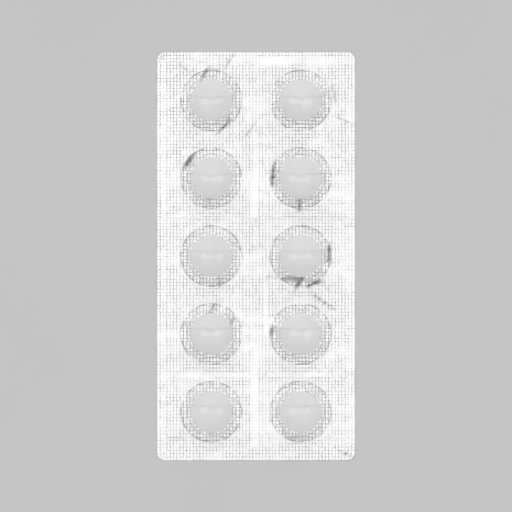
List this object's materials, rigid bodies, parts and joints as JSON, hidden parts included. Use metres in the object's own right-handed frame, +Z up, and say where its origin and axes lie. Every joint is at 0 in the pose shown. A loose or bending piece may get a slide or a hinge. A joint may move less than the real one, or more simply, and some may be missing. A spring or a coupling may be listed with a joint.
{
  "type": "pill blister pack",
  "caption": "Flat rectangular blister card: clear formed film with rows of round pockets over knurled foil, each pocket holding a biconvex tablet that is pushed out through the foil.",
  "frame": {"origin": "middle of the foil's underside, the face that the pack lies on", "axes": "+Z up through the pockets, +Y along the card's length, +X across the card"},
  "size_m": [0.047, 0.0968, 0.0047],
  "materials": {
    "clear_film": "clear gloss formed PVC film",
    "foil": "bright knurled foil",
    "tablet": "pressed white tablet, fine-grained and slightly satin"
  },
  "bodies": {
    "root": {"blister_film": "clear_film", "lidding_foil": "foil", "tablet_row1_left": "tablet", "tablet_row1_right": "tablet", "tablet_row2_left": "tablet", "tablet_row2_right": "tablet", "tablet_row3_left": "tablet", "tablet_row3_right": "tablet", "tablet_row4_left": "tablet", "tablet_row4_right": "tablet", "tablet_row5_left": "tablet", "tablet_row5_right": "tablet"}
  },
  "joints": []
}
